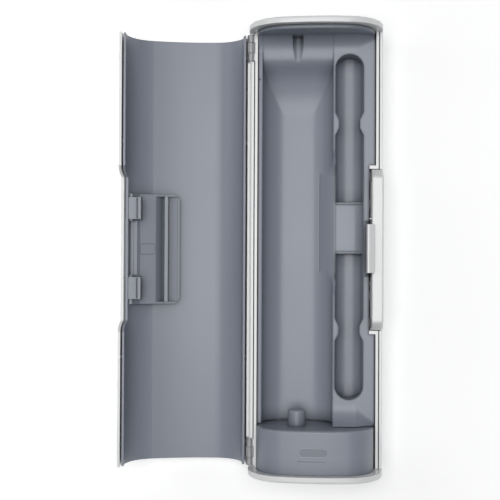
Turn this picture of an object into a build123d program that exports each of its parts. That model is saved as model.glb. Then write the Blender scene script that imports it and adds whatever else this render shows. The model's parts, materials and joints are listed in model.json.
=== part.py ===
"""Charging travel case for an electric toothbrush, open on its back.

Millimetres. X runs across the case, Y along it (charger at -Y), Z up from the flat back.
Everything is drawn with the case shut; the lid's pieces are swung open when they are written.
"""

from math import cos, radians, sin, sqrt, tan
import os

from build123d import *

os.makedirs("parts", exist_ok=True)

# Closed case
CASE_LENGTH = 243.0
CASE_HEIGHT = 48.0
HALF_WIDTH = 36.0
CORNER = 0.4375 * CASE_HEIGHT
CROWN_ANGLE = 8.0
CORNER_X = HALF_WIDTH - CORNER
CROWN_X = CORNER_X + CORNER * sin(radians(CROWN_ANGLE))
CROWN_RISE = CROWN_X * tan(radians(CROWN_ANGLE / 2))
SIDE_TOP = CASE_HEIGHT - CROWN_RISE - CORNER * cos(radians(CROWN_ANGLE))
CAP_THICK = 3.4
CAP_EDGE = 1.3
CAP_FACE = CASE_LENGTH / 2 - CAP_THICK
CAP_FOOT = 10.5
CAP_FOOT_HALF = 3.8
CAP_FOOT_HIGH = 5.6
WALL = 1.4
SEAM = CASE_HEIGHT / 2
SEAM_GAP = 0.3
LID_EDGE = SEAM + SEAM_GAP

# Hinge side, where both shells are cut flat
HINGE_X = 0.7 - HALF_WIDTH
HINGE_Z = SEAM + SEAM_GAP / 2
HINGE_SIDE = HINGE_X + 0.3
LID_SWING = 170.0
KNUCKLE_R = 1.35
HINGE_PIN_R = 0.7
HINGE_PIN_PLAY = 0.05
SWING_GAP = 0.3
HINGE_OUTER = CAP_FACE - 0.6
HINGE_ZONE = 15.0
HINGE_PIN_LENGTH = 14.4
KNUCKLE_LONG = 4.0
KNUCKLE_PLAY = 0.3
KNUCKLE_WEB = 0.6
KNUCKLES_FRAME = (
    (HINGE_OUTER - HINGE_ZONE + 0.5, HINGE_OUTER - HINGE_ZONE + 0.5 + KNUCKLE_LONG),
    (HINGE_OUTER - 0.5 - KNUCKLE_LONG, HINGE_OUTER - 0.5),
)
KNUCKLE_LID = (KNUCKLES_FRAME[0][1] + KNUCKLE_PLAY, KNUCKLES_FRAME[1][0] - KNUCKLE_PLAY)

# Inner frame of the base
FRAME_GAP = 0.5
FRAME_RIM = 1.5
FRAME_OUT = WALL + FRAME_GAP
FRAME_IN = FRAME_OUT + FRAME_RIM
FLOOR = FRAME_IN
PAD_R = 2.8
RETURN_THICK = 1.9

# Tray
SKIN = 1.6
TRAY_TOP = SEAM - 1.1
TRAY_LEFT = HINGE_X + 4.15
TRAY_RIGHT = HALF_WIDTH - 3.94
TRAY_END = CAP_FACE - 0.3
END_WALL = 1.9
INNER_INSET = 4.4
TROUGH_LEFT = TRAY_LEFT + 2.15
TROUGH_RIGHT = 9.62
TROUGH_FLOOR = TRAY_TOP - 14.4
TROUGH_CORNER = 12.0
NECK_STEPS = (
    (0.0, 20.0),
    (1.0, 17.9),
    (2.4, 16.4),
    (4.2, 15.2),
    (6.2, 14.4),
    (8.2, 13.9),
    (10.2, 13.6),
    (11.8, 13.3),
    (13.4, 12.5),
    (15.6, 10.4),
    (19.0, 6.7),
    (22.0, 4.6),
    (25.0, 3.3),
    (30.0, 1.6),
    (36.0, 0.4),
    (42.0, 0.0),
)
NECK_ROOM_R = 2.8
NECK_ROOM_LONG = 15.0
NOTCH_DOWN = 23.1
WELL_X = 18.35
WELL_WIDTH = 15.4
WELL_FLOOR = TRAY_TOP - 12.9
WELL_CORNER = 5.5
WELL_LEAN = 1.5
WELL_PINCH = 11.35
WELL_LONG = 80.3
PINCH_DOWN = 38.0
PINCH_HALF = 6.2
PINCH_FLAT = 2.2
WELL_TOP_END = TRAY_END - 11.34
PLATFORM_DEEP = 7.4
PLATFORM_CURVE = 5.5
PLATFORM_RIB = 1.05
RIB_STEP = 0.6
RECESS_DEEP = 7.8
RECESS_SLOPE = 0.8
RECESS_SPAN = (-24.0, -13.0, 43.0, 54.0)
HOOK_RELIEF = 1.2
LEG_THICK = 1.6
LEDGE = HALF_WIDTH - 6.9

# Charging dock
DOCK_LONG = 23.2
DOCK_FACE = DOCK_LONG - CAP_FACE
DOCK_INSET = 4.5
DOCK_WALL = 1.8
DOCK_BOTTOM = FLOOR + 6.1
DOCK_EDGE = 1.2
TRAY_START = DOCK_FACE + 0.3
WELL_LOW_END = DOCK_FACE + 13.6
PEG_X = (TROUGH_LEFT + TROUGH_RIGHT) / 2
PEG_Z = SEAM
PEG_R = 4.8
PEG_TIP = DOCK_FACE + 8.4
PEG_SKIN = 1.6
PEG_ROOT_R = PEG_R + 0.2
PEG_COLLAR = 0.3
CORE_R = 2.6
COIL_R = 9.0
FLANGE = 0.9
LEAD_R = 0.35
BOARD_Y = DOCK_FACE - 10.6
BOARD_THICK = 1.6
BOARD_HALF = 22.0
BOARD_HIGH = 11.0
BOARD_SCREW_R = 0.9
POST_R = 2.2
SOCKET_X = 12.0
SOCKET_Z = SEAM
SOCKET_R = 4.0
SOCKET_BORE = 2.8
SOCKET_DEEP = 9.5
CONTACT_R = 1.0

# Screws through the back
SCREW_R = 1.2
SCREW_HEAD_R = 2.3
SCREW_HEAD = 1.1
SCREW_SUNK = 0.05
SCREW_LENGTH = 7.5
SCREW_PLAY = 0.05
SCREW_HEX = 0.9
BOSS_R = 2.6
DOCK_FOOT_R = 3.2

# Latch
LATCH_Y = 0.1
BUTTON_HALF = 43.2
BUTTON_TOP_HALF = BUTTON_HALF - 4.2
BUTTON_TOP = SEAM + 8.0
BUTTON_BOTTOM = SEAM - 9.0
BUTTON_SHOULDER = SEAM + 1.4
BUTTON_IN = LEDGE + 1.05
BUTTON_PROUD = 0.3
BUTTON_GAP = 0.4
BUTTON_WALL = 2.0
BUTTON_ROUND = 0.9
PIVOT_X = BUTTON_IN + 0.15
PIVOT_Z = SEAM - 9.5
PIVOT_R = 0.9
PIVOT_PLAY = 0.05
LUG_R = 1.9
LUG_HALF = 2.4
LUG_SPOTS = (-40.0, -25.0, 25.0, 40.0)
HOOK_SPAN = (-12.3, 13.5)
HOOK_IN = LEDGE - 1.8
HOOK_OUT = LEDGE
HOOK_FOOT = SEAM + 0.2
HOOK_FOOT_HIGH = 2.4
BARB_Z = SEAM + 10.9
BARB_OUT = LEDGE + 2.2
HOOK_TOP = BARB_Z + 2.0
SPRING_SPOTS = (18.2, -17.2)
SPRING_MEAN = 1.5
SPRING_WIRE = 0.3
SPRING_TURNS = 5
SPRING_LEG_TOP = SEAM - 3.4
WELL_SIDE = LEDGE - 1.3
WELL_SHEET = 0.4
WELL_BASE = SEAM - 14.6
WELL_BASE_THICK = 0.8

# Lid
LID_HALF = CAP_FACE - 0.95
LINER_SHORT = 0.5
LINER_OUT = 2.3
LINER_IN = 3.5
LINER_LEFT = HINGE_X + 2.7
RING_WIDE = 1.6
CUTOUT_TOP = BUTTON_TOP + 1.0
CUTOUT_HALF = BUTTON_TOP_HALF + 0.4
CUTOUT_FOOT = BUTTON_HALF + 1.6
RAIL_TOP = BARB_Z - 0.3
WINDOW_SPAN = (HOOK_SPAN[0] - 2, HOOK_SPAN[1] + 2)
WINDOW_IN = HOOK_IN - 0.5
CATCH_LEFT = 2.4
CATCH_HALF = 30.4
CATCH_THICK = 1.4
CATCH_RIM = 1.2
CATCH_INNER = HOOK_IN - 2.4
HOOK_ROOM = HOOK_TOP + 0.7
TAB_SPANS = ((16.4, 28.5), (-27.4, -15.3))
TAB_IN = LEDGE - 5.0
TAB_LIP = 1.5
RIB_LEFT = 9.1
RIB_WIDE = 1.9
RIB_Z = SEAM + 16.4
RIB_ROOT = SEAM + 19.6
GROOVE_WIDE = 5.0
TAB_GROOVE = 0.8
PANEL_LEFT = SEAM + 18.2
PANEL_RIGHT = SEAM + 14.4
PANEL_END = LEDGE - 1.7
RIB_HALF = 29.2

WELL_UPPER = (WELL_TOP_END - WELL_LONG, WELL_TOP_END)
WELL_LOWER = (WELL_LOW_END, WELL_LOW_END + WELL_LONG - 1)
INNER = DOCK_WALL + DOCK_INSET
SCREW_SPOTS = [(x, y * CAP_FACE) for y in (0.6, -0.5) for x in (-11.2, -3.0)]
CAP_SPOTS = [(x, CAP_FACE - 6.1) for x in (-10.0, 10.0)]
DOCK_SPOTS = [(x, DOCK_FACE - 6.1) for x in (-10.0, 10.0)]
ALL_SPOTS = SCREW_SPOTS + CAP_SPOTS + [(x, -y) for x, y in CAP_SPOTS] + DOCK_SPOTS
BOARD_SPOTS = [(x, PEG_Z + z) for x in (-19.5, 19.5) for z in (-9.0, 7.5)]


def across(y):
    """Plane across the case at y, with its own x along X and its own y along Z."""
    return Plane(origin=(0, y, 0), x_dir=(1, 0, 0), z_dir=(0, -1, 0))


def along(x):
    """Plane along the case at x, with its own x along Y and its own y along Z."""
    return Plane(origin=(x, 0, 0), x_dir=(0, 1, 0), z_dir=(1, 0, 0))


def case_section(y, inset=0.0):
    """The shut case's outline at y, drawn smaller by inset all round."""
    radius = CORNER - inset
    half = HALF_WIDTH - inset
    tip_x = CORNER_X + radius * sin(radians(CROWN_ANGLE))
    tip_z = SIDE_TOP + radius * cos(radians(CROWN_ANGLE))
    sweep = 90 - CROWN_ANGLE
    with BuildSketch(across(y)) as section:
        with BuildLine():
            Line((-CORNER_X, inset), (CORNER_X, inset))
            CenterArc((CORNER_X, CORNER), radius, 270, 90)
            Line((half, CORNER), (half, SIDE_TOP))
            CenterArc((CORNER_X, SIDE_TOP), radius, 0, sweep)
            ThreePointArc((tip_x, tip_z), (0, CASE_HEIGHT - inset), (-tip_x, tip_z))
            CenterArc((-CORNER_X, SIDE_TOP), radius, 180 - sweep, sweep)
            Line((-half, SIDE_TOP), (-half, CORNER))
            CenterArc((-CORNER_X, CORNER), radius, 180, 90)
        make_face()
    return section.sketch


def clipped_section(y, inset, left, bottom, top):
    """The case outline kept between a left edge and two heights."""
    with BuildSketch(across(y)) as section:
        add(case_section(y, inset))
        with Locations(((left + HALF_WIDTH) / 2 + 1, (bottom + top) / 2)):
            Rectangle(HALF_WIDTH - left + 2, top - bottom, mode=Mode.INTERSECT)
    return section.sketch


def bar(x0, x1, y0, y1, z0, z1, mode=Mode.ADD):
    """Box between the given limits, in the open builder."""
    with Locations(((x0 + x1) / 2, (y0 + y1) / 2, (z0 + z1) / 2)):
        Box(x1 - x0, y1 - y0, z1 - z0, mode=mode)


def post(x, y, z0, z1, radius, mode=Mode.ADD):
    """Upright cylinder, in the open builder."""
    with Locations((x, y, (z0 + z1) / 2)):
        Cylinder(radius, z1 - z0, mode=mode)


def rod(x, z, y0, y1, radius, mode=Mode.ADD):
    """Cylinder along Y, in the open builder."""
    with Locations((x, (y0 + y1) / 2, z)):
        Cylinder(radius, y1 - y0, rotation=(90, 0, 0), mode=mode)


def screw_holes(spots, bottom, top, radius):
    """Holes for the screws that come up through the back."""
    for x, y in spots:
        post(x, y, bottom, top, radius, Mode.SUBTRACT)


def hinge_zone(side):
    """Ends of the stretch cleared for the hinge at one end of the case."""
    return sorted((side * (HINGE_OUTER - HINGE_ZONE - SWING_GAP), side * (CAP_FACE + 1)))


def base_shell():
    with BuildPart() as shell:
        extrude(clipped_section(CAP_FACE, 0, HINGE_SIDE, 0, SEAM), amount=2 * CAP_FACE)
        inner = clipped_section(CAP_FACE, WALL, HINGE_SIDE + WALL, 0, SEAM + 1)
        extrude(inner, amount=2 * CAP_FACE, mode=Mode.SUBTRACT)
        half = BUTTON_HALF + BUTTON_GAP
        low = BUTTON_BOTTOM - BUTTON_GAP
        bar(LEDGE, HALF_WIDTH + 1, LATCH_Y - half, LATCH_Y + half, low, SEAM + 1, Mode.SUBTRACT)
        for side in (-1, 1):
            ends = hinge_zone(side)
            low = HINGE_Z - KNUCKLE_R - SWING_GAP
            bar(HINGE_X - 1, HINGE_SIDE + WALL + 0.1, *ends, low, SEAM + 1, Mode.SUBTRACT)
        for x, y in ALL_SPOTS:
            post(x, y, -1, WALL + 1, SCREW_R + SCREW_PLAY, Mode.SUBTRACT)
            with Locations((x, y, SCREW_HEAD / 2)):
                Cone(SCREW_HEAD_R + SCREW_SUNK, SCREW_R + SCREW_SUNK, SCREW_HEAD, mode=Mode.SUBTRACT)
    return shell.part


def base_frame():
    half = BUTTON_HALF + BUTTON_GAP + 0.1
    with BuildPart() as frame:
        outer = clipped_section(CAP_FACE, FRAME_OUT, HINGE_SIDE + FRAME_OUT, 0, SEAM)
        extrude(outer, amount=2 * CAP_FACE)
        inner = clipped_section(CAP_FACE, FRAME_IN, HINGE_SIDE + FRAME_IN, 0, SEAM + 1)
        extrude(inner, amount=2 * CAP_FACE, mode=Mode.SUBTRACT)
        bar(WELL_SIDE - 0.1, HALF_WIDTH, LATCH_Y - half, LATCH_Y + half, WELL_BASE, SEAM + 1, Mode.SUBTRACT)
        for side in (-1, 1):
            ends = sorted((LATCH_Y + side * half, LATCH_Y + side * (half + RETURN_THICK)))
            with BuildSketch(across(ends[1])):
                shelf = TRAY_TOP - SKIN - 0.2
                add(clipped_section(ends[1], FRAME_OUT, WELL_SIDE - 0.1, WELL_BASE, shelf))
                add(clipped_section(ends[1], FRAME_OUT, LEDGE, shelf - 0.1, SEAM))
            extrude(amount=RETURN_THICK)
        reach = half + RETURN_THICK - 0.7
        rod(PIVOT_X, PIVOT_Z, LATCH_Y - reach, LATCH_Y + reach, PIVOT_R + 0.02, Mode.SUBTRACT)
        for side in (-1, 1):
            for pair in KNUCKLES_FRAME:
                ends = sorted((side * pair[0], side * pair[1]))
                rod(HINGE_X, HINGE_Z, *ends, KNUCKLE_R)
                bar(HINGE_X, HINGE_SIDE + FRAME_IN - 0.5, *ends, HINGE_Z - KNUCKLE_R, SEAM)
                rod(HINGE_X, HINGE_Z, *ends, HINGE_PIN_R + HINGE_PIN_PLAY, Mode.SUBTRACT)
        for x, y in ALL_SPOTS:
            post(x, y, WALL, FRAME_OUT + 0.1, PAD_R)
        screw_holes(ALL_SPOTS, 0, FLOOR + 1, SCREW_R + SCREW_PLAY)
    return frame.part


def end_cap(side, socket):
    """Cap over one end, with two feet that the back screws hold."""
    ends = sorted((side * CAP_FACE, side * CASE_LENGTH / 2))
    foot = sorted((side * (CAP_FACE - CAP_FOOT), side * (CAP_FACE + 0.5)))
    with BuildPart() as cap:
        extrude(case_section(ends[1]), amount=CAP_THICK)
        rim = cap.faces().sort_by(Axis.Y)[-1 if side > 0 else 0].edges()
        fillet(rim, CAP_EDGE)
        for x, y in CAP_SPOTS:
            bar(x - CAP_FOOT_HALF, x + CAP_FOOT_HALF, *foot, FLOOR, FLOOR + CAP_FOOT_HIGH)
            post(x, side * y, FLOOR - 1, SCREW_LENGTH + 0.3, SCREW_R + SCREW_PLAY, Mode.SUBTRACT)
        if socket:
            rod(SOCKET_X, SOCKET_Z, ends[0] - 1, ends[1] + 1, SOCKET_R + 0.15, Mode.SUBTRACT)
    return cap.part


def trough_section(y, left, right, floor, corner, top):
    """Upright-sided U with rounded bottom corners."""
    with BuildSketch(across(y)) as section:
        with Locations(((left + right) / 2, (floor + top + corner) / 2)):
            RectangleRounded(right - left, top + corner - floor, corner)
        with Locations(((left + right) / 2, top + corner)):
            Rectangle(right - left + 1, 2 * corner, mode=Mode.SUBTRACT)
    return section.sketch


def handle_space(grow):
    """Space that the handle lies in: a long trough whose floor climbs in waves behind the neck."""
    floor = TROUGH_FLOOR - grow
    ceiling = TRAY_TOP + 12
    top = TRAY_TOP if grow else ceiling
    end = TRAY_END - END_WALL + (0.5 if grow else 0)
    left = TROUGH_LEFT - grow
    right = TROUGH_RIGHT + grow
    climb = [(TRAY_END - END_WALL - back, floor + up) for back, up in NECK_STEPS]
    with BuildPart() as space:
        u_shape = trough_section(end, left, right, floor, TROUGH_CORNER + grow, top)
        extrude(u_shape, amount=end - TRAY_START)
        with BuildSketch(along(left - 1)):
            with BuildLine():
                Spline(*climb)
                Line(climb[-1], (TRAY_START, floor))
                Line((TRAY_START, floor), (TRAY_START, ceiling))
                Line((TRAY_START, ceiling), (end, ceiling))
                Line((end, ceiling), (end, climb[0][1]))
                if grow:
                    Line((end, climb[0][1]), climb[0])
            make_face()
        extrude(amount=right - left + 2, mode=Mode.INTERSECT)
    return space.part


def well_outline(span, rounded_end):
    """Plan of one brush-head well, round at the head end and pinched at the neck."""
    half = WELL_WIDTH / 2
    waist = WELL_PINCH / 2
    pinch = span[1] - PINCH_DOWN if rounded_end > 0 else span[0] + PINCH_DOWN
    centre = (span[0] + span[1]) / 2
    with BuildSketch(Plane.XY.offset(WELL_FLOOR - 3)) as outline:
        with Locations((WELL_X, centre)):
            Rectangle(WELL_WIDTH, span[1] - span[0])
        head = outline.vertices().sort_by(Axis.Y)
        fillet(head[2:] if rounded_end > 0 else head[:2], half - 0.01)
        for side in (-1, 1):
            with BuildLine():
                Polyline(
                    (WELL_X + side * (half + 1), pinch + PINCH_HALF),
                    (WELL_X + side * half, pinch + PINCH_HALF),
                    (WELL_X + side * waist, pinch + PINCH_FLAT),
                    (WELL_X + side * waist, pinch - PINCH_FLAT),
                    (WELL_X + side * half, pinch - PINCH_HALF),
                    (WELL_X + side * (half + 1), pinch - PINCH_HALF),
                    close=True,
                )
            make_face(mode=Mode.SUBTRACT)
        bends = outline.vertices().filter_by_position(
            Axis.Y, pinch - PINCH_HALF - 0.1, pinch + PINCH_HALF + 0.1
        )
        fillet(bends, 1.6)
    return outline.sketch


def well_section(y, grow, top):
    """U with leaning sides, across one well."""
    half = WELL_WIDTH / 2 + grow
    floor = WELL_FLOOR - grow
    with BuildSketch(across(y)) as section:
        with BuildLine():
            Polyline(
                (WELL_X - half, top),
                (WELL_X - half, TRAY_TOP - 0.5),
                (WELL_X - half + WELL_LEAN, floor),
                (WELL_X + half - WELL_LEAN, floor),
                (WELL_X + half, TRAY_TOP - 0.5),
                (WELL_X + half, top),
                close=True,
            )
        make_face()
        low = section.vertices().sort_by(Axis.Y)[:2]
        fillet(low, WELL_CORNER + grow)
    return section.sketch


def well_space(span, rounded_end):
    with BuildPart() as space:
        extrude(well_outline(span, rounded_end), amount=TRAY_TOP - WELL_FLOOR + 4)
        section = well_section(span[1] + 1, 0, TRAY_TOP + 2)
        extrude(section, amount=span[1] - span[0] + 2, mode=Mode.INTERSECT)
    return space.part


def platform_space(y0, y1, floor):
    """Finger space between the two wells, flat and then curving up on the latch side."""
    left = TROUGH_RIGHT + 0.4
    right = WELL_X + WELL_WIDTH / 2 - 0.1
    with BuildPart() as space:
        with BuildSketch(across(y1)):
            with BuildLine():
                TangentArc((right - PLATFORM_CURVE, floor), (right, TRAY_TOP), tangent=(1, 0))
                Line((right, TRAY_TOP), (right, TRAY_TOP + 1))
                Line((right, TRAY_TOP + 1), (left, TRAY_TOP + 1))
                Line((left, TRAY_TOP + 1), (left, floor))
                Line((left, floor), (right - PLATFORM_CURVE, floor))
            make_face()
        extrude(amount=y1 - y0)
    return space.part


def ramp_side(x, wall_y, rise, run):
    """Side view, at one place across the case, of a curve rising to an end face."""
    side = 1 if wall_y > 0 else -1
    start = wall_y - side * run
    low = TRAY_TOP - 1
    with BuildSketch(along(x)) as view:
        with BuildLine():
            TangentArc((start, TRAY_TOP), (wall_y, TRAY_TOP + rise), tangent=(side, 0))
            Line((wall_y, TRAY_TOP + rise), (wall_y, low))
            Line((wall_y, low), (start, low))
            Line((start, low), (start, TRAY_TOP))
        make_face()
    return view.sketch


def end_ramp(wall_y, rise, run, left, bend, right, fade):
    """Filler that curves the tray's top up to an end face, and dies away past the bend."""
    full = ramp_side(bend, wall_y, rise, run)
    ends = (wall_y, wall_y - run if wall_y > 0 else wall_y + run)
    with BuildPart() as ramp:
        extrude(ramp_side(left, wall_y, rise, run), amount=bend - left)
        loft(sections=[full, ramp_side(right, wall_y, rise * fade, run * fade)])
        outline = clipped_section(max(ends), INNER_INSET, left, TRAY_TOP - 1, CASE_HEIGHT)
        extrude(outline, amount=run, mode=Mode.INTERSECT)
    return ramp.part


def finger_recess():
    """Low saddle in the ridge between handle and wells, sloping down on the handle's side."""
    level = TRAY_TOP - RECESS_DEEP
    start = TROUGH_RIGHT + 0.4
    with BuildSketch(along(start)) as view:
        with BuildLine():
            Polyline(
                (RECESS_SPAN[0], TRAY_TOP + 0.3),
                (RECESS_SPAN[1], level),
                (RECESS_SPAN[2], level),
                (RECESS_SPAN[3], TRAY_TOP + 0.3),
                (RECESS_SPAN[3], TRAY_TOP + RECESS_DEEP),
                (RECESS_SPAN[0], TRAY_TOP + RECESS_DEEP),
                close=True,
            )
        make_face()
        fillet(view.vertices().sort_by(Axis.Y)[:2], 9)
    with BuildPart() as recess:
        extrude(view.sketch, amount=WELL_X - WELL_WIDTH / 2 + 0.5 - start)
        extrude(view.sketch, amount=TROUGH_CORNER - 2, dir=(-1, 0, -RECESS_SLOPE))
    return recess.part


def hook_relief():
    """Slope in the tray's edge under the latch's hook."""
    with BuildPart() as relief:
        with BuildSketch(across(HOOK_SPAN[1] + 2)):
            with BuildLine():
                Polyline(
                    (LEDGE - 3.4, TRAY_TOP),
                    (LEDGE + 1, TRAY_TOP - HOOK_RELIEF),
                    (LEDGE + 1, TRAY_TOP + 1),
                    (LEDGE - 3.4, TRAY_TOP + 1),
                    close=True,
                )
            make_face()
        extrude(amount=HOOK_SPAN[1] - HOOK_SPAN[0] + 4)
    return relief.part


def inner_tray():
    face = TRAY_END - END_WALL
    half = BUTTON_HALF + BUTTON_GAP + RETURN_THICK + 0.3
    platform = TRAY_TOP - PLATFORM_DEEP
    bend = WELL_X + 4
    with BuildPart() as tray:
        bar(TRAY_LEFT, TRAY_RIGHT, TRAY_START, face, TRAY_TOP - SKIN, TRAY_TOP)
        wall = clipped_section(TRAY_END, INNER_INSET, TRAY_LEFT, TRAY_TOP - SKIN, CASE_HEIGHT)
        extrude(wall, amount=END_WALL)
        add(end_ramp(face, 5.6, 8.4, TRAY_LEFT, bend, TRAY_RIGHT, 0.35))
        add(end_ramp(TRAY_START, 7.0, 10.8, TROUGH_RIGHT, bend, TRAY_RIGHT - 0.6, 0.2))
        add(handle_space(SKIN))
        channel = well_section(WELL_UPPER[1] + SKIN, SKIN, TRAY_TOP)
        extrude(channel, amount=WELL_UPPER[1] - WELL_LOWER[0] + 2 * SKIN)
        rod(PEG_X, PEG_Z, face - NECK_ROOM_LONG, face + 0.5, NECK_ROOM_R + SKIN)
        add(handle_space(0), mode=Mode.SUBTRACT)
        rod(PEG_X, PEG_Z, face - NECK_ROOM_LONG, face, NECK_ROOM_R, Mode.SUBTRACT)
        sides = (PEG_X - NECK_ROOM_R, PEG_X + NECK_ROOM_R)
        bar(*sides, face - NECK_ROOM_LONG, face, PEG_Z, TRAY_TOP + 12, Mode.SUBTRACT)
        add(well_space(WELL_UPPER, 1), mode=Mode.SUBTRACT)
        add(well_space(WELL_LOWER, -1), mode=Mode.SUBTRACT)
        ends = (WELL_LOWER[1] - 0.2, WELL_UPPER[0] + 0.2)
        add(platform_space(*ends, platform + RIB_STEP), mode=Mode.SUBTRACT)
        ends = (WELL_LOWER[1] + PLATFORM_RIB, WELL_UPPER[0] - PLATFORM_RIB)
        add(platform_space(*ends, platform), mode=Mode.SUBTRACT)
        add(finger_recess(), mode=Mode.SUBTRACT)
        add(hook_relief(), mode=Mode.SUBTRACT)
        bar(LEDGE, HALF_WIDTH, LATCH_Y - half, LATCH_Y + half, 0, SEAM, Mode.SUBTRACT)
        notch = face - NOTCH_DOWN
        bar(TRAY_LEFT - 1, TROUGH_LEFT - 1.2, notch, notch + 0.6, TRAY_TOP - 0.7, SEAM, Mode.SUBTRACT)
        for x, y in SCREW_SPOTS:
            post(x, y, FLOOR, TROUGH_FLOOR - 1, BOSS_R)
        for end in (WELL_UPPER[1] - 11, WELL_UPPER[0] + 24, WELL_LOWER[1] - 18, WELL_LOWER[0] + 16):
            bar(CORNER_X - 2, CORNER_X - 0.5, end, end + LEG_THICK, FLOOR, WELL_FLOOR + 0.8)
        screw_holes(SCREW_SPOTS, 0, SCREW_LENGTH + 0.15, SCREW_R + SCREW_PLAY)
    return tray.part


def dock_housing():
    inside = DOCK_FACE - DOCK_WALL
    with BuildPart() as dock:
        outer = clipped_section(DOCK_FACE, DOCK_INSET, TRAY_LEFT, DOCK_BOTTOM, CASE_HEIGHT)
        extrude(outer, amount=CAP_FACE + DOCK_FACE)
        front = dock.faces().sort_by(Axis.Y)[-1].edges().filter_by_position(Axis.Z, TRAY_TOP, 50)
        fillet(front, DOCK_EDGE)
        inner = clipped_section(
            inside, INNER, TRAY_LEFT + DOCK_WALL, DOCK_BOTTOM + DOCK_WALL, CASE_HEIGHT
        )
        extrude(inner, amount=CAP_FACE, mode=Mode.SUBTRACT)
        rod(PEG_X, PEG_Z, inside - 1, DOCK_FACE + 1, PEG_ROOT_R + 0.05, Mode.SUBTRACT)
        for x, z in BOARD_SPOTS:
            rod(x, z, BOARD_Y, inside + 0.1, POST_R)
            rod(x, z, BOARD_Y - 1, BOARD_Y + 4.2, BOARD_SCREW_R + 0.02, Mode.SUBTRACT)
        for x, y in DOCK_SPOTS:
            post(x, y, FLOOR, DOCK_BOTTOM + 0.5, DOCK_FOOT_R)
        screw_holes(DOCK_SPOTS, 0, SCREW_LENGTH + 0.3, SCREW_R + SCREW_PLAY)
    return dock.part


def charging_pin():
    inside = DOCK_FACE - DOCK_WALL
    with BuildPart() as peg:
        rod(PEG_X, PEG_Z, DOCK_FACE, PEG_TIP, PEG_R)
        fillet(peg.faces().sort_by(Axis.Y)[-1].edges(), 1.0)
        rod(PEG_X, PEG_Z, inside - 0.5, DOCK_FACE + PEG_COLLAR, PEG_ROOT_R)
        rod(PEG_X, PEG_Z, inside - 1, inside, 7.0)
        rod(PEG_X, PEG_Z, inside - 2, PEG_TIP - PEG_SKIN, CORE_R + 0.1, Mode.SUBTRACT)
    return peg.part


def coil_bobbin():
    front = DOCK_FACE - DOCK_WALL - 1
    with BuildPart() as bobbin:
        rod(PEG_X, PEG_Z, BOARD_Y, front, CORE_R + 1.1)
        rod(PEG_X, PEG_Z, front - FLANGE, front, COIL_R + 0.5)
        rod(PEG_X, PEG_Z, BOARD_Y, BOARD_Y + FLANGE, COIL_R + 0.5)
        rod(PEG_X, PEG_Z, BOARD_Y - 1, front + 1, CORE_R + 0.1, Mode.SUBTRACT)
    return bobbin.part


def charging_coil():
    front = DOCK_FACE - DOCK_WALL - 1
    with BuildPart() as coil:
        rod(PEG_X, PEG_Z, BOARD_Y + FLANGE + 0.1, front - FLANGE - 0.1, COIL_R)
        rod(PEG_X, PEG_Z, BOARD_Y, front, CORE_R + 1.15, Mode.SUBTRACT)
    return coil.part


def ferrite_core():
    with BuildPart() as core:
        rod(PEG_X, PEG_Z, BOARD_Y + 0.2, PEG_TIP - PEG_SKIN - 0.2, CORE_R)
    return core.part


def coil_leads():
    offset = 3.0
    top = PEG_Z + sqrt((COIL_R + LEAD_R) ** 2 - offset**2)
    with BuildPart() as leads:
        for side in (-1, 1):
            x = PEG_X + side * offset
            post(x, BOARD_Y + 4, top - 0.3, top + 1.6, LEAD_R)
            rod(x, top + 1.6 - LEAD_R, BOARD_Y, BOARD_Y + 4, LEAD_R)
    return leads.part


def charger_board():
    with BuildPart() as board:
        bar(-BOARD_HALF, BOARD_HALF, BOARD_Y - BOARD_THICK, BOARD_Y, SEAM - BOARD_HIGH, SEAM + BOARD_HIGH)
        for x, z in BOARD_SPOTS:
            rod(x, z, BOARD_Y - 3, BOARD_Y + 1, BOARD_SCREW_R + 0.1, Mode.SUBTRACT)
    return board.part


def board_parts():
    """Transformer and capacitor in front of the board, two chips behind it."""
    rear = BOARD_Y - BOARD_THICK
    with BuildPart() as chips:
        bar(4, 14, BOARD_Y, BOARD_Y + 7, SEAM - 9.5, SEAM - 0.5)
        rod(9, SEAM + 5, BOARD_Y, BOARD_Y + 7.5, 3.2)
        bar(-14, -6, rear - 1.2, rear, SEAM - 6, SEAM)
        bar(-4, 0, rear - 1, rear, SEAM + 3, SEAM + 6)
    return chips.part


def board_screws():
    back = BOARD_Y - BOARD_THICK
    with BuildPart() as screws:
        for x, z in BOARD_SPOTS:
            rod(x, z, back, BOARD_Y + 3.8, BOARD_SCREW_R)
            rod(x, z, back - 0.9, back, 2 * BOARD_SCREW_R)
            rod(x, z, back - 1, back - 0.4, 0.7, Mode.SUBTRACT)
    return screws.part


def power_socket():
    mouth = 0.2 - CASE_LENGTH / 2
    back = BOARD_Y - BOARD_THICK
    with BuildPart() as socket:
        rod(SOCKET_X, SOCKET_Z, mouth, back, SOCKET_R)
        rod(SOCKET_X, SOCKET_Z, mouth - 1, mouth + SOCKET_DEEP, SOCKET_BORE, Mode.SUBTRACT)
        rod(SOCKET_X, SOCKET_Z, mouth, back - 2, CONTACT_R + 0.02, Mode.SUBTRACT)
    return socket.part


def socket_contact():
    mouth = 0.2 - CASE_LENGTH / 2
    with BuildPart() as contact:
        rod(SOCKET_X, SOCKET_Z, mouth + 1.2, BOARD_Y - BOARD_THICK - 2.1, CONTACT_R)
        fillet(contact.faces().sort_by(Axis.Y)[0].edges(), CONTACT_R / 2)
    return contact.part


def case_screws():
    with BuildPart() as screws:
        for x, y in ALL_SPOTS:
            post(x, y, SCREW_HEAD / 2, SCREW_LENGTH, SCREW_R)
            with Locations((x, y, SCREW_SUNK + SCREW_HEAD / 2)):
                Cone(SCREW_HEAD_R, SCREW_R, SCREW_HEAD)
            with BuildSketch(Plane.XY.offset(-1)):
                with Locations((x, y)):
                    RegularPolygon(SCREW_HEX, 6)
            extrude(amount=1 + SCREW_SUNK + SCREW_HEAD - 0.3, mode=Mode.SUBTRACT)
    return screws.part


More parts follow.
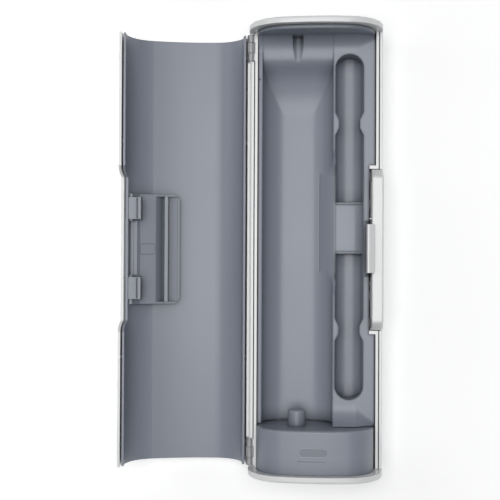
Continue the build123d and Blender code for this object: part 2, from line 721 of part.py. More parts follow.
def hinge_pins():
    with BuildPart() as pins:
        for side in (-1, 1):
            start = side * (HINGE_OUTER - 0.3)
            ends = sorted((start, start - side * HINGE_PIN_LENGTH))
            rod(HINGE_X, HINGE_Z, *ends, HINGE_PIN_R)
    return pins.part


def lid_cutout():
    """Side view of the opening in the lid's free edge."""
    with BuildSketch(along(CORNER_X)) as view:
        with BuildLine():
            Polyline(
                (LATCH_Y - CUTOUT_FOOT - 0.6, LID_EDGE - 1),
                (LATCH_Y - CUTOUT_FOOT, LID_EDGE),
                (LATCH_Y - CUTOUT_HALF, CUTOUT_TOP),
                (LATCH_Y + CUTOUT_HALF, CUTOUT_TOP),
                (LATCH_Y + CUTOUT_FOOT, LID_EDGE),
                (LATCH_Y + CUTOUT_FOOT + 0.6, LID_EDGE - 1),
                close=True,
            )
        make_face()
        fillet(view.vertices().sort_by(Axis.Y)[-2:], 1.5)
    return view.sketch


def lid_shell():
    with BuildPart() as shell:
        outer = clipped_section(LID_HALF, 0, HINGE_SIDE, LID_EDGE, CASE_HEIGHT + 1)
        extrude(outer, amount=2 * LID_HALF)
        inner = clipped_section(LID_HALF, WALL, HINGE_SIDE + WALL, LID_EDGE - 1, CASE_HEIGHT)
        extrude(inner, amount=2 * LID_HALF, mode=Mode.SUBTRACT)
        extrude(lid_cutout(), amount=HALF_WIDTH, mode=Mode.SUBTRACT)
        for side in (-1, 1):
            rod(HINGE_X, HINGE_Z, *hinge_zone(side), KNUCKLE_R + SWING_GAP, Mode.SUBTRACT)
            ends = sorted((side * KNUCKLE_LID[0], side * KNUCKLE_LID[1]))
            rod(HINGE_X, HINGE_Z, *ends, KNUCKLE_R)
            bar(HINGE_X, HINGE_SIDE + WALL, *ends, LID_EDGE, HINGE_Z + KNUCKLE_R + KNUCKLE_WEB)
            rod(HINGE_X, HINGE_Z, *ends, HINGE_PIN_R + HINGE_PIN_PLAY, Mode.SUBTRACT)
    return shell.part


def lid_liner():
    half = LID_HALF - LINER_SHORT
    with BuildPart() as liner:
        extrude(clipped_section(half, LINER_OUT, LINER_LEFT, LID_EDGE, CASE_HEIGHT), amount=2 * half)
        for share in (-0.9, -0.5, 0.5, 0.9):
            y = share * half + RING_WIDE / 2
            ring = clipped_section(y, WALL, HINGE_SIDE + WALL, LID_EDGE + 3, CASE_HEIGHT)
            extrude(ring, amount=RING_WIDE)
        y0, y1 = WINDOW_SPAN
        backing = clipped_section(y1 + 1, WALL + 0.1, WINDOW_IN - 1, RAIL_TOP - 1, HOOK_ROOM + 2)
        extrude(backing, amount=y1 - y0 + 2)
        inner = clipped_section(
            half, LINER_IN, LINER_LEFT + LINER_IN - LINER_OUT, LID_EDGE - 1, CASE_HEIGHT
        )
        extrude(inner, amount=2 * half, mode=Mode.SUBTRACT)
        extrude(lid_cutout(), amount=HALF_WIDTH, mode=Mode.SUBTRACT)
        window = clipped_section(y1, LINER_OUT - 0.2, WINDOW_IN, RAIL_TOP, HOOK_ROOM)
        extrude(window, amount=y1 - y0, mode=Mode.SUBTRACT)
    return liner.part


def catch_panel(y):
    """Flat panel bridging the liner's curve, with a sloping pocket beside the rib."""
    with BuildSketch(across(y)) as panel:
        add(case_section(y, LINER_IN))
        with BuildLine():
            Polyline(
                (CATCH_LEFT, CASE_HEIGHT),
                (CATCH_LEFT, PANEL_LEFT),
                (RIB_LEFT + RIB_WIDE, PANEL_LEFT - 0.8),
                (PANEL_END, PANEL_RIGHT),
                (PANEL_END + 2, CASE_HEIGHT),
                close=True,
            )
        make_face(mode=Mode.INTERSECT)
    return panel.sketch


def catch_pocket(y):
    """Side view of the valley that the rib stands in."""
    groove = RIB_LEFT + RIB_WIDE
    with BuildSketch(across(y)) as pocket:
        with BuildLine():
            Polyline(
                (CATCH_LEFT + CATCH_RIM, PANEL_LEFT - 2),
                (CATCH_LEFT + CATCH_RIM, PANEL_LEFT + 0.3),
                (RIB_LEFT - 1.3, RIB_ROOT),
                (RIB_LEFT, RIB_ROOT + 0.2),
                (groove, RIB_ROOT + 0.1),
                (groove + 1.2, RIB_ROOT - 0.3),
                (groove + GROOVE_WIDE, PANEL_LEFT - 1.8),
                (groove + GROOVE_WIDE, PANEL_LEFT - 2),
                close=True,
            )
        make_face()
    return pocket.sketch


def lid_catch_plate():
    low = RAIL_TOP - 0.2
    top = LATCH_Y + CATCH_HALF
    groove = RIB_LEFT + RIB_WIDE
    with BuildPart() as catch:
        extrude(clipped_section(top, LINER_IN, CATCH_LEFT, low, CASE_HEIGHT), amount=2 * CATCH_HALF)
        inner = clipped_section(top, LINER_IN + CATCH_THICK, CATCH_LEFT - 2, low - 1, CASE_HEIGHT)
        extrude(inner, amount=2 * CATCH_HALF, mode=Mode.SUBTRACT)
        extrude(catch_panel(top), amount=2 * CATCH_HALF)
        corners = catch.edges().filter_by(Axis.Z).group_by(Axis.X)[0]
        fillet(corners, 4)
        inside = 2 * (CATCH_HALF - CATCH_RIM)
        extrude(catch_pocket(top - CATCH_RIM), amount=inside, mode=Mode.SUBTRACT)
        bar(RIB_LEFT, groove, LATCH_Y - RIB_HALF, LATCH_Y + RIB_HALF, RIB_Z, RIB_ROOT + 0.4)
        for y0, y1 in TAB_SPANS:
            shelf = clipped_section(y1, LINER_IN, TAB_IN, CUTOUT_TOP + 0.3, CUTOUT_TOP + 1.9)
            extrude(shelf, amount=y1 - y0)
            lip = TAB_IN + TAB_LIP
            bar(TAB_IN, lip, y0, y1, CUTOUT_TOP - 1.8, CUTOUT_TOP + 1.9)
            ends = (y0 + 0.6, y1 - 0.6)
            bar(lip, lip + TAB_GROOVE, *ends, SEAM, CUTOUT_TOP + 1.1, Mode.SUBTRACT)
            ends = (y0 - 0.5, y1 + 0.5)
            bar(TAB_IN - TAB_GROOVE, TAB_IN, *ends, SEAM, PANEL_RIGHT + 1.8, Mode.SUBTRACT)
        bar(CATCH_INNER, HALF_WIDTH, *WINDOW_SPAN, SEAM, HOOK_ROOM, Mode.SUBTRACT)
    return catch.part


def button_blank():
    """Solid outline of the button, seen across and from the side."""
    end = LATCH_Y + BUTTON_HALF
    outside = HALF_WIDTH + BUTTON_PROUD
    with BuildPart() as blank:
        with BuildSketch(across(end)):
            add(clipped_section(end, -BUTTON_PROUD, BUTTON_IN, BUTTON_BOTTOM, SEAM + 0.3))
            with Locations(((BUTTON_IN + outside) / 2, (SEAM + BUTTON_TOP) / 2)):
                Rectangle(outside - BUTTON_IN, BUTTON_TOP - SEAM)
        extrude(amount=2 * BUTTON_HALF)
        with BuildSketch(along(BUTTON_IN - 1)) as view:
            with BuildLine():
                Polyline(
                    (LATCH_Y - BUTTON_HALF, BUTTON_BOTTOM),
                    (LATCH_Y - BUTTON_HALF, BUTTON_SHOULDER),
                    (LATCH_Y - BUTTON_TOP_HALF, BUTTON_TOP),
                    (LATCH_Y + BUTTON_TOP_HALF, BUTTON_TOP),
                    (LATCH_Y + BUTTON_HALF, BUTTON_SHOULDER),
                    (LATCH_Y + BUTTON_HALF, BUTTON_BOTTOM),
                    close=True,
                )
            make_face()
            fillet(view.vertices().sort_by(Axis.Y)[:2], 3)
            fillet(view.vertices().sort_by(Axis.Y)[-2:], 2)
        extrude(amount=outside - BUTTON_IN + 2, mode=Mode.INTERSECT)
        top_edges = blank.edges().group_by(Axis.Z)[-1]
        fillet(top_edges.filter_by(Axis.Y), BUTTON_ROUND)
    return blank.part


def hook():
    """Hook that holds the lid: a foot on the button, an upright and an outward barb."""
    root = BUTTON_IN + 0.3
    with BuildPart() as catch:
        with BuildSketch(across(HOOK_SPAN[1])):
            with BuildLine():
                Polyline(
                    (root, HOOK_FOOT),
                    (HOOK_IN, HOOK_FOOT),
                    (HOOK_IN, HOOK_TOP - 0.8),
                    (HOOK_IN + 0.4, HOOK_TOP),
                    (HOOK_OUT - 0.6, HOOK_TOP),
                    (BARB_OUT, BARB_Z + 0.3),
                    (BARB_OUT, BARB_Z),
                    (HOOK_OUT, BARB_Z),
                    (HOOK_OUT, HOOK_FOOT + HOOK_FOOT_HIGH),
                    (root, HOOK_FOOT + HOOK_FOOT_HIGH),
                    close=True,
                )
            make_face()
        extrude(amount=HOOK_SPAN[1] - HOOK_SPAN[0])
    return catch.part


def latch_button():
    hollow_end = BUTTON_TOP_HALF - 1
    with BuildPart() as button:
        add(button_blank())
        for y0, y1 in ((-hollow_end, HOOK_SPAN[0] - 2.5), (HOOK_SPAN[1] + 2.5, hollow_end)):
            low = BUTTON_BOTTOM + BUTTON_WALL + 0.4
            high = BUTTON_TOP - BUTTON_WALL - 0.4
            bar(BUTTON_IN - 1, HALF_WIDTH - BUTTON_WALL, y0, y1, low, high, Mode.SUBTRACT)
        add(hook())
        for spot in LUG_SPOTS:
            ends = (LATCH_Y + spot - LUG_HALF, LATCH_Y + spot + LUG_HALF)
            rod(PIVOT_X, PIVOT_Z, *ends, LUG_R)
            bar(PIVOT_X, HALF_WIDTH - 2.4, *ends, BUTTON_BOTTOM, BUTTON_BOTTOM + 2.6)
        for y in SPRING_SPOTS:
            rod(PIVOT_X, PIVOT_Z, y - 2, y + 2, SPRING_MEAN + SPRING_WIRE + 0.3, Mode.SUBTRACT)
        ends = (-BUTTON_HALF - 5, BUTTON_HALF + 5)
        rod(PIVOT_X, PIVOT_Z, *ends, PIVOT_R + PIVOT_PLAY, Mode.SUBTRACT)
    return button.part


def latch_pin():
    half = BUTTON_HALF + BUTTON_GAP + RETURN_THICK - 0.7
    with BuildPart() as pin:
        rod(PIVOT_X, PIVOT_Z, LATCH_Y - half, LATCH_Y + half, PIVOT_R)
    return pin.part


def latch_springs():
    """Two torsion springs round the pin, each a coil with a leg on the button and one on the well."""
    wire = SPRING_WIRE
    pitch = 1.8 * wire
    end = pitch * (SPRING_TURNS - 1) / 2
    with BuildPart() as springs:
        for y in SPRING_SPOTS:
            for turn in range(SPRING_TURNS):
                with Locations((PIVOT_X, y - end + turn * pitch, PIVOT_Z)):
                    Torus(SPRING_MEAN, wire, rotation=(90, 0, 0))
            leg_x = BUTTON_IN - wire - 0.03
            post(leg_x, y - end, PIVOT_Z + SPRING_MEAN - 0.4, SPRING_LEG_TOP, wire)
            post(PIVOT_X - SPRING_MEAN - 0.1, y + end, PIVOT_Z - 3.2, PIVOT_Z, wire)
    return springs.part


def latch_well():
    half = BUTTON_HALF + BUTTON_GAP - 0.1
    with BuildPart() as well:
        top = TRAY_TOP - SKIN - 0.2
        bar(WELL_SIDE, WELL_SIDE + WELL_SHEET, LATCH_Y - half, LATCH_Y + half, WELL_BASE, top)
        low = (WELL_BASE, WELL_BASE + WELL_BASE_THICK)
        bar(WELL_SIDE, PIVOT_X, LATCH_Y - half, LATCH_Y + half, *low)
    return well.part


def write(part, name):
    part.label = name
    export_step(part, f"parts/{name}.step")


hinge = Location((HINGE_X, 0, HINGE_Z))
lid_open = hinge * Location((0, 0, 0), (0, -LID_SWING, 0)) * hinge.inverse()

write(base_shell(), "base_shell")
write(base_frame(), "base_frame")
write(end_cap(1, False), "top_end_cap")
write(end_cap(-1, True), "bottom_end_cap")
write(inner_tray(), "inner_tray")
write(dock_housing(), "dock_housing")
write(charging_pin(), "charging_pin")
write(coil_bobbin(), "coil_bobbin")
write(charging_coil(), "charging_coil")
write(ferrite_core(), "ferrite_core")
write(coil_leads(), "coil_leads")
write(charger_board(), "charger_board")
write(board_parts(), "board_parts")
write(board_screws(), "board_screws")
write(power_socket(), "power_socket")
write(socket_contact(), "socket_contact")
write(case_screws(), "case_screws")
write(hinge_pins(), "hinge_pins")
write(latch_button(), "latch_button")
write(latch_pin(), "latch_pin")
write(latch_springs(), "latch_springs")
write(latch_well(), "latch_well")
write(lid_shell().moved(lid_open), "lid_shell")
write(lid_liner().moved(lid_open), "lid_liner")
write(lid_catch_plate().moved(lid_open), "lid_catch_plate")
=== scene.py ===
"""Looks of the toothbrush travel case: finishes, small surface details, light and camera."""

import bpy
from mathutils import Matrix, Vector
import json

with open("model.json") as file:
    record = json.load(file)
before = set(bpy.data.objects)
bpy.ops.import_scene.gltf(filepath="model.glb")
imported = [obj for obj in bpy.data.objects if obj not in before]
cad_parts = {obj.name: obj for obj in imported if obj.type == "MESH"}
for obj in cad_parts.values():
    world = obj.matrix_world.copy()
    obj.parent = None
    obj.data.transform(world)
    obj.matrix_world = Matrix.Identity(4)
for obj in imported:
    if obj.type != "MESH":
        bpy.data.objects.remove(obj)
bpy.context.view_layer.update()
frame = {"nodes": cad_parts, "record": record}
nodes = frame["nodes"]
scene = bpy.context.scene
scene.view_settings.view_transform = "Standard"
MM = 0.001

# Colour sockets of a Mix node
MIX_A, MIX_B, MIX_RESULT = 6, 7, 2

WHITE = (0.79, 0.80, 0.80)
GREY = (0.255, 0.277, 0.330)
DARK_GREY = (0.07, 0.07, 0.08)
LINE_GREY = (0.5, 0.53, 0.58)
# Lighter colours mixed in along every edge, and their share
WHITE_AT_EDGES = (0.82, 0.82, 0.82, 1)
GREY_AT_EDGES = (0.34, 0.36, 0.41, 1)
EDGE_TINT_SHARE = 0.35
# Painted shade in creases: reach in metres and samples of the ambient occlusion that darkens the
# colour
PAINTED_SHADE_REACH = 0.009
PAINTED_SHADE_SAMPLES = 8
EDGE_SAMPLES = 4
NOISE_MIDDLE = 0.5
STREAK_STRETCH = (1.0, 0.08, 1.0)
STREAK_SHEEN = 0.25


# ---------------------------------------------------------------- shader groups


def new_group(name, inputs, outputs):
    """Empty shader node group with named sockets. inputs are (name, type, default)."""
    group = bpy.data.node_groups.new(name, "ShaderNodeTree")
    for label, kind, default in inputs:
        socket = group.interface.new_socket(label, in_out="INPUT", socket_type=kind)
        socket.default_value = default
    for label, kind in outputs:
        group.interface.new_socket(label, in_out="OUTPUT", socket_type=kind)
    return group, group.nodes.new("NodeGroupInput"), group.nodes.new("NodeGroupOutput")


def node(tree, kind, **values):
    """Node with its sockets or settings given by name."""
    made = tree.nodes.new(kind)
    for key, value in values.items():
        label = key.replace("_", " ")
        if label in made.inputs:
            made.inputs[label].default_value = value
        else:
            setattr(made, key, value)
    return made


def build_moulded_group():
    """Moulded plastic: fine spark-eroded grain, slow tone and sheen variation."""
    group, given, out = new_group(
        "moulded surface",
        [
            ("Colour", "NodeSocketColor", (0.8, 0.8, 0.8, 1)),
            ("Sheen Level", "NodeSocketFloat", 0.4),
            ("Grain Scale", "NodeSocketFloat", 2500.0),
            ("Tone Change", "NodeSocketFloat", 0.03),
            ("Sheen Change", "NodeSocketFloat", 0.08),
        ],
        [
            ("Base Color", "NodeSocketColor"),
            ("Roughness", "NodeSocketFloat"),
            ("Height", "NodeSocketFloat"),
        ],
    )
    link = group.links.new
    place = node(group, "ShaderNodeTexCoord")
    grain = node(group, "ShaderNodeTexNoise", Detail=2.0, Roughness=0.6)
    slow = node(group, "ShaderNodeTexNoise", Scale=22.0, Detail=3.0, Roughness=0.5)
    link(place.outputs["Object"], grain.inputs["Vector"])
    link(place.outputs["Object"], slow.inputs["Vector"])
    link(given.outputs["Grain Scale"], grain.inputs["Scale"])

    centred = node(group, "ShaderNodeMath", operation="SUBTRACT")
    centred.inputs[1].default_value = NOISE_MIDDLE
    link(slow.outputs["Fac"], centred.inputs[0])
    tone = node(group, "ShaderNodeMath", operation="MULTIPLY")
    link(centred.outputs[0], tone.inputs[0])
    link(given.outputs["Tone Change"], tone.inputs[1])
    value = node(group, "ShaderNodeMath", operation="ADD")
    value.inputs[0].default_value = 1.0
    link(tone.outputs[0], value.inputs[1])
    tinted = node(group, "ShaderNodeHueSaturation")
    link(given.outputs["Colour"], tinted.inputs["Color"])
    link(value.outputs[0], tinted.inputs["Value"])
    link(tinted.outputs["Color"], out.inputs["Base Color"])

    sheen = node(group, "ShaderNodeMath", operation="MULTIPLY_ADD")
    link(centred.outputs[0], sheen.inputs[0])
    link(given.outputs["Sheen Change"], sheen.inputs[1])
    link(given.outputs["Sheen Level"], sheen.inputs[2])
    link(sheen.outputs[0], out.inputs["Roughness"])
    link(grain.outputs["Fac"], out.inputs["Height"])
    return group


def build_edge_group():
    """Rounded-looking edges, and a mask of where they are for a lighter colour along the edges."""
    group, given, out = new_group(
        "soft edges",
        [("Radius", "NodeSocketFloat", 0.0004)],
        [("Normal", "NodeSocketVector"), ("Edge", "NodeSocketFloat")],
    )
    link = group.links.new
    bevel = node(group, "ShaderNodeBevel", samples=EDGE_SAMPLES)
    link(given.outputs["Radius"], bevel.inputs["Radius"])
    flat = node(group, "ShaderNodeNewGeometry")
    dot = node(group, "ShaderNodeVectorMath", operation="DOT_PRODUCT")
    link(bevel.outputs["Normal"], dot.inputs[0])
    link(flat.outputs["Normal"], dot.inputs[1])
    edge = node(group, "ShaderNodeMapRange")
    edge.inputs["From Min"].default_value = 1.0
    edge.inputs["From Max"].default_value = 0.7
    link(dot.outputs["Value"], edge.inputs["Value"])
    link(edge.outputs["Result"], out.inputs["Edge"])
    link(bevel.outputs["Normal"], out.inputs["Normal"])
    return group


def build_brushed_group():
    """Drawn metal: streaks along one axis."""
    group, given, out = new_group(
        "drawn metal",
        [
            ("Colour", "NodeSocketColor", (0.6, 0.6, 0.6, 1)),
            ("Sheen Level", "NodeSocketFloat", 0.3),
            ("Streaks", "NodeSocketFloat", 900.0),
        ],
        [
            ("Base Color", "NodeSocketColor"),
            ("Roughness", "NodeSocketFloat"),
            ("Height", "NodeSocketFloat"),
        ],
    )
    link = group.links.new
    place = node(group, "ShaderNodeTexCoord")
    stretch = node(group, "ShaderNodeMapping")
    stretch.inputs["Scale"].default_value = STREAK_STRETCH
    streak = node(group, "ShaderNodeTexNoise", Detail=3.0)
    link(place.outputs["Object"], stretch.inputs["Vector"])
    link(stretch.outputs["Vector"], streak.inputs["Vector"])
    link(given.outputs["Streaks"], streak.inputs["Scale"])
    rough = node(group, "ShaderNodeMath", operation="MULTIPLY_ADD")
    rough.inputs[1].default_value = STREAK_SHEEN
    link(streak.outputs["Fac"], rough.inputs[0])
    link(given.outputs["Sheen Level"], rough.inputs[2])
    link(rough.outputs[0], out.inputs["Roughness"])
    shade = node(group, "ShaderNodeMapRange")
    shade.inputs["To Min"].default_value = 0.85
    shade.inputs["To Max"].default_value = 1.1
    link(streak.outputs["Fac"], shade.inputs["Value"])
    tinted = node(group, "ShaderNodeHueSaturation")
    link(given.outputs["Colour"], tinted.inputs["Color"])
    link(shade.outputs["Result"], tinted.inputs["Value"])
    link(tinted.outputs["Color"], out.inputs["Base Color"])
    link(streak.outputs["Fac"], out.inputs["Height"])
    return group


def build_patch_group():
    """Rounded rectangle on the top of a piece: the line round it and the area inside."""
    group, given, out = new_group(
        "rounded patch",
        [
            ("Centre", "NodeSocketVector", (0, 0, 0)),
            ("Half Size", "NodeSocketVector", (0.01, 0.01, 10.0)),
            ("Corner", "NodeSocketFloat", 0.001),
            ("Line Width", "NodeSocketFloat", 0.0003),
            ("Softness", "NodeSocketFloat", 0.0002),
        ],
        [("Line", "NodeSocketFloat"), ("Inside", "NodeSocketFloat")],
    )
    link = group.links.new

    def vector(operation, first, second=None):
        made = node(group, "ShaderNodeVectorMath", operation=operation)
        link(first, made.inputs[0])
        if second is not None:
            link(second, made.inputs[1])
        return made.outputs["Value" if operation == "LENGTH" else "Vector"]

    def maths(operation, first, second):
        made = node(group, "ShaderNodeMath", operation=operation)
        for socket, value in zip(made.inputs, (first, second)):
            if isinstance(value, float):
                socket.default_value = value
            elif value is not None:
                link(value, socket)
        return made.outputs[0]

    def fade(distance):
        made = node(group, "ShaderNodeMapRange", interpolation_type="SMOOTHSTEP")
        made.inputs["To Min"].default_value = 1.0
        made.inputs["To Max"].default_value = 0.0
        link(distance, made.inputs["Value"])
        link(given.outputs["Softness"], made.inputs["From Max"])
        return made.outputs["Result"]

    place = node(group, "ShaderNodeTexCoord")
    offset = vector("ABSOLUTE", vector("SUBTRACT", place.outputs["Object"], given.outputs["Centre"]))
    corner = node(group, "ShaderNodeCombineXYZ")
    link(given.outputs["Corner"], corner.inputs[0])
    link(given.outputs["Corner"], corner.inputs[1])
    inner = vector("SUBTRACT", given.outputs["Half Size"], corner.outputs[0])
    past = vector("SUBTRACT", offset, inner)
    beyond = node(group, "ShaderNodeVectorMath", operation="MAXIMUM")
    link(past, beyond.inputs[0])
    parts = node(group, "ShaderNodeSeparateXYZ")
    link(past, parts.inputs[0])
    within = maths("MINIMUM", maths("MAXIMUM", parts.outputs[0], parts.outputs[1]), 0.0)
    reach = maths("ADD", vector("LENGTH", beyond.outputs["Vector"]), within)
    distance = maths("SUBTRACT", reach, given.outputs["Corner"])
    from_line = maths("SUBTRACT", maths("ABSOLUTE", distance, None), given.outputs["Line Width"])
    link(fade(from_line), out.inputs["Line"])
    link(fade(distance), out.inputs["Inside"])
    return group


MOULDED = build_moulded_group()
EDGES = build_edge_group()
DRAWN = build_brushed_group()
PATCH = build_patch_group()


# ---------------------------------------------------------------- materials


def material(
    name, group, settings, grain_depth, edge_radius=0.0, edge_tint=None, painted_crease_shade=0.0, **shader_values
):
    """Principled material on one of the groups, with bump, softened edges and painted shade that
    darkens the colour in creases.

    grain_depth and edge_radius are in metres.
    """
    made = bpy.data.materials.new(name)
    made.use_nodes = True
    tree = made.node_tree
    tree.nodes.clear()
    link = tree.links.new
    shader = node(tree, "ShaderNodeBsdfPrincipled")
    for label, value in shader_values.items():
        shader.inputs[label.replace("_", " ")].default_value = value
    surface = node(tree, "ShaderNodeGroup", node_tree=group)
    for label, value in settings.items():
        surface.inputs[label].default_value = value
    colour = surface.outputs["Base Color"]
    bump = node(tree, "ShaderNodeBump", Strength=1.0, Distance=grain_depth)
    link(surface.outputs["Height"], bump.inputs["Height"])
    if edge_radius:
        edges = node(tree, "ShaderNodeGroup", node_tree=EDGES)
        edges.inputs["Radius"].default_value = edge_radius
        link(edges.outputs["Normal"], bump.inputs["Normal"])
        # Colour along the edges mixed lighter than the face
        if edge_tint:
            edge_tinted = node(tree, "ShaderNodeMix", data_type="RGBA")
            edge_tinted.inputs[MIX_B].default_value = edge_tint
            amount = node(tree, "ShaderNodeMath", operation="MULTIPLY")
            amount.inputs[1].default_value = EDGE_TINT_SHARE
            link(edges.outputs["Edge"], amount.inputs[0])
            link(amount.outputs[0], edge_tinted.inputs[0])
            link(colour, edge_tinted.inputs[MIX_A])
            colour = edge_tinted.outputs[MIX_RESULT]
    # Painted shade: the colour is darkened where ambient occlusion finds creases, recesses and gaps
    # between parts
    if painted_crease_shade:
        open_sky = node(tree, "ShaderNodeAmbientOcclusion", samples=PAINTED_SHADE_SAMPLES)
        open_sky.inputs["Distance"].default_value = PAINTED_SHADE_REACH
        shade = node(tree, "ShaderNodeMapRange")
        shade.inputs["To Min"].default_value = 1.0 - painted_crease_shade
        link(open_sky.outputs["AO"], shade.inputs["Value"])
        crease_shaded = node(tree, "ShaderNodeHueSaturation")
        link(colour, crease_shaded.inputs["Color"])
        link(shade.outputs["Result"], crease_shaded.inputs["Value"])
        colour = crease_shaded.outputs["Color"]
    link(colour, shader.inputs["Base Color"])
    link(surface.outputs["Roughness"], shader.inputs["Roughness"])
    link(bump.outputs["Normal"], shader.inputs["Normal"])
    out = node(tree, "ShaderNodeOutputMaterial")
    link(shader.outputs["BSDF"], out.inputs["Surface"])
    return made


def add_patch(paint, output, middle, half, corner, tint, share, depth=0.0, line=0.15, soft=0.15):
    """Tinted, sunk or raised rounded patch on a finished material. Lengths are in millimetres."""
    tree = paint.node_tree
    link = tree.links.new
    shader = next(n for n in tree.nodes if n.type == "BSDF_PRINCIPLED")
    patch = node(tree, "ShaderNodeGroup", node_tree=PATCH)
    patch.inputs["Centre"].default_value = [MM * value for value in middle]
    patch.inputs["Half Size"].default_value = [MM * value for value in half]
    patch.inputs["Corner"].default_value = corner * MM
    patch.inputs["Line Width"].default_value = line * MM
    patch.inputs["Softness"].default_value = soft * MM
    amount = node(tree, "ShaderNodeMath", operation="MULTIPLY")
    amount.inputs[1].default_value = share
    link(patch.outputs[output], amount.inputs[0])
    mixed = node(tree, "ShaderNodeMix", data_type="RGBA")
    mixed.inputs[MIX_B].default_value = (*tint, 1)
    link(amount.outputs[0], mixed.inputs[0])
    link(shader.inputs["Base Color"].links[0].from_socket, mixed.inputs[MIX_A])
    link(mixed.outputs[MIX_RESULT], shader.inputs["Base Color"])
    if depth:
        bump = node(tree, "ShaderNodeBump", Strength=1.0, Distance=depth * MM)
        link(patch.outputs[output], bump.inputs["Height"])
        link(shader.inputs["Normal"].links[0].from_socket, bump.inputs["Normal"])
        link(bump.outputs["Normal"], shader.inputs["Normal"])


def plastic(colour, sheen, scale=2500.0, tone=0.03, change=0.08):
    return {
        "Colour": (*colour, 1),
        "Sheen Level": sheen,
        "Grain Scale": scale,
        "Tone Change": tone,
        "Sheen Change": change,
    }


def metal(colour, sheen, streaks=900.0):
    return {"Colour": (*colour, 1), "Sheen Level": sheen, "Streaks": streaks}


GREY_SATIN = plastic(GREY, 0.38, 3000.0, 0.04)
# The second value is the share of painted shade that darkens the grey in creases
GREY_GRAIN, GREY_PAINTED_SHADE = 0.000012, 0.9
TRAY_EDGE = 0.0016

# Each crease value is painted shade: how far the colour darkens in creases and recesses
FINISH = {
    "white_gloss": material(
        "white moulding", MOULDED, plastic(WHITE, 0.30, 1800.0, 0.02), grain_depth=0.000004,
        edge_radius=0.0005, edge_tint=WHITE_AT_EDGES, painted_crease_shade=0.1, Coat_Weight=0.15,
    ),
    "grey_satin": material(
        "grey satin moulding", MOULDED, GREY_SATIN, grain_depth=GREY_GRAIN,
        edge_radius=0.0004, edge_tint=GREY_AT_EDGES, painted_crease_shade=GREY_PAINTED_SHADE,
    ),
    "black_plastic": material(
        "black moulding", MOULDED, plastic((0.012, 0.011, 0.010), 0.5), grain_depth=0.00001,
        edge_radius=0.0003,
    ),
    "ferrite": material(
        "ferrite", MOULDED, plastic((0.05, 0.05, 0.055), 0.6, 1500.0, 0.2), grain_depth=0.00003
    ),
    "board": material(
        "circuit board", MOULDED, plastic((0.03, 0.16, 0.07), 0.35, 900.0, 0.2),
        grain_depth=0.00001,
    ),
    "copper": material(
        "enamelled wire", DRAWN, metal((0.62, 0.27, 0.12), 0.2), grain_depth=0.00002, Metallic=1.0
    ),
    "steel": material(
        "steel", DRAWN, metal((0.60, 0.60, 0.61), 0.2), grain_depth=0.000005, Metallic=1.0
    ),
    "brass_contact": material(
        "plated contact", DRAWN, metal((0.75, 0.58, 0.30), 0.15), grain_depth=0.000004,
        Metallic=1.0,
    ),
}

slots = {part["node"]: part["material_slot"] for part in frame["record"]["subparts"]}
for name, obj in nodes.items():
    obj.data.materials.clear()
    obj.data.materials.append(FINISH[slots[name]])


def own_finish(name):
    """Copy of a piece's finish that only this piece wears."""
    paint = FINISH[slots[name]].copy()
    paint.name = f"{paint.name} of {name}"
    nodes[name].data.materials[0] = paint
    return paint


# The tray also gets painted shade that darkens its colour in creases and recesses
nodes["inner_tray"].data.materials[0] = material(
    "grey tray moulding", MOULDED, GREY_SATIN, grain_depth=GREY_GRAIN, edge_radius=TRAY_EDGE,
    painted_crease_shade=GREY_PAINTED_SHADE,
)

# Patches: middle, half size and corner radius, in millimetres
LOZENGE = (-0.55, -106.3, 43), (7.65, 2.2, 5), 2.19
UNDERLINE = (-1.45, -110.9, 43), (7.5, 0.15, 5), 0.14
PLATE_MARK = (-92.9, 0.1, 19), (3.9, 2.9, 9), 1.2
HINGE_X, HINGE_Z = -35.3, 24.15
KNUCKLE_ENDS = (-109.8, 109.8)
KNUCKLE_HALF, KNUCKLE_CORNER = (1.9, 8.2, 1.6), 0.3

dock = own_finish("dock_housing")
add_patch(dock, "Inside", *LOZENGE, DARK_GREY, share=0.3)
add_patch(dock, "Line", *LOZENGE, LINE_GREY, share=0.6, depth=0.15)
add_patch(dock, "Inside", *UNDERLINE, DARK_GREY, share=0.35, depth=-0.05)

plate = own_finish("lid_catch_plate")
add_patch(plate, "Line", *PLATE_MARK, DARK_GREY, share=0.3, depth=0.1)

# Painted shade: the white is darkened at both hinge ends, next to the end caps
for name in ("base_frame", "lid_shell"):
    hinge_end_shade = own_finish(name)
    for end in KNUCKLE_ENDS:
        middle = (HINGE_X, end, HINGE_Z)
        add_patch(
            hinge_end_shade, "Inside", middle, KNUCKLE_HALF, KNUCKLE_CORNER, DARK_GREY,
            share=0.55, soft=0.3,
        )


# ---------------------------------------------------------------- camera, floor and light

# Camera: lens and place in millimetres, turns in radians
LENS = 69.12
CAMERA_PLACE = (2.0594, -5.4579, 545.7065)
TURN_Y, TURN_X, TURN_Z = 0.0718, 0.0099, 0.0045

# Floor: metres, and the share that distance along the case counts in its fades
FLOOR_SIZE = 6.0
FLOOR_Z = -0.0002
FLOOR_ALONG = 0.45
WORLD_FILL = 0.09

camera_data = bpy.data.cameras.new("camera")
camera_data.sensor_width = 36.0
camera_data.lens = LENS
camera_data.clip_start = 0.01
camera_data.clip_end = 20
camera = bpy.data.objects.new("camera", camera_data)
turn = Matrix.Rotation(TURN_Y, 4, "Y") @ Matrix.Rotation(TURN_X, 4, "X")
turn = turn @ Matrix.Rotation(TURN_Z, 4, "Z")
camera.matrix_world = Matrix.Translation(Vector(CAMERA_PLACE) * MM) @ turn
scene.collection.objects.link(camera)
scene.camera = camera


def flat_sheet(name, size, z, paint):
    mesh = bpy.data.meshes.new(name)
    s = size / 2
    mesh.from_pydata([(-s, -s, z), (s, -s, z), (s, s, z), (-s, s, z)], [], [(0, 1, 2, 3)])
    mesh.materials.append(paint)
    obj = bpy.data.objects.new(name, mesh)
    scene.collection.objects.link(obj)


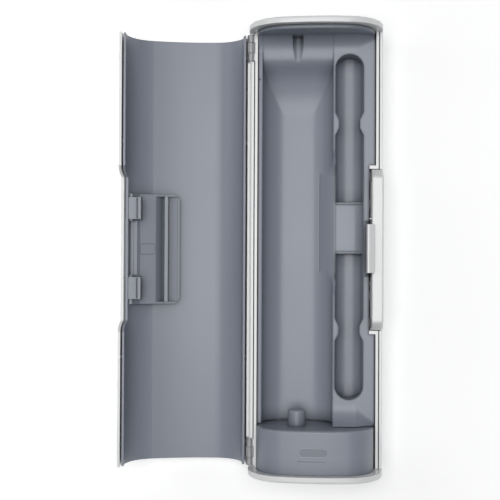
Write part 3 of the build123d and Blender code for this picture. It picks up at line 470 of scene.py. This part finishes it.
floor_paint = bpy.data.materials.new("white table")
floor_paint.use_nodes = True
floor_tree = floor_paint.node_tree
floor_shader = floor_tree.nodes["Principled BSDF"]
floor_shader.inputs["Roughness"].default_value = 0.9
floor_shader.inputs["Emission Color"].default_value = (1, 1, 1, 1)
spot = node(floor_tree, "ShaderNodeNewGeometry")
along_case = node(floor_tree, "ShaderNodeVectorMath", operation="MULTIPLY")
along_case.inputs[1].default_value = (1.0, FLOOR_ALONG, 1.0)
away = node(floor_tree, "ShaderNodeVectorMath", operation="LENGTH")
floor_tree.links.new(spot.outputs["Position"], along_case.inputs[0])
floor_tree.links.new(along_case.outputs["Vector"], away.inputs[0])
# Fades outward from the case: start and end in metres, value near and far
for label, start, end, near, far in (
    ("Base Color", 0.4, 1.4, 0.93, 0.0),
    ("Emission Strength", 0.06, 0.9, 0.235, 1.0),
):
    ease = node(floor_tree, "ShaderNodeMapRange")
    ease.inputs["From Min"].default_value = start
    ease.inputs["From Max"].default_value = end
    ease.inputs["To Min"].default_value = near
    ease.inputs["To Max"].default_value = far
    floor_tree.links.new(away.outputs["Value"], ease.inputs["Value"])
    floor_tree.links.new(ease.outputs["Result"], floor_shader.inputs[label])
flat_sheet("table", FLOOR_SIZE, FLOOR_Z, floor_paint)

world = bpy.data.worlds.new("studio")
scene.world = world
world.use_nodes = True
tree = world.node_tree
tree.nodes.clear()
seen = node(tree, "ShaderNodeBackground", Color=(1, 1, 1, 1), Strength=1.0)
fill = node(tree, "ShaderNodeBackground", Color=(0.94, 0.97, 1.0, 1), Strength=WORLD_FILL)
path = node(tree, "ShaderNodeLightPath")
pick = node(tree, "ShaderNodeMixShader")
world_out = node(tree, "ShaderNodeOutputWorld")
tree.links.new(path.outputs["Is Camera Ray"], pick.inputs["Fac"])
tree.links.new(fill.outputs["Background"], pick.inputs[1])
tree.links.new(seen.outputs["Background"], pick.inputs[2])
tree.links.new(pick.outputs["Shader"], world_out.inputs["Surface"])


def softbox(name, position, target, size, power, colour=(1, 1, 1)):
    light = bpy.data.lights.new(name, "AREA")
    light.shape = "RECTANGLE"
    light.size, light.size_y = size
    light.energy = power
    light.color = colour
    obj = bpy.data.objects.new(name, light)
    obj.location = position
    obj.rotation_euler = (Vector(target) - Vector(position)).to_track_quat("-Z", "Y").to_euler()
    scene.collection.objects.link(obj)


softbox("overhead softbox", (-0.03, 0.08, 1.3), (-0.03, 0, 0), (0.85, 0.85), 12.0)
softbox("left fill", (-1.2, 0.4, 1.0), (0, 0, 0), (0.6, 0.9), 2.4)
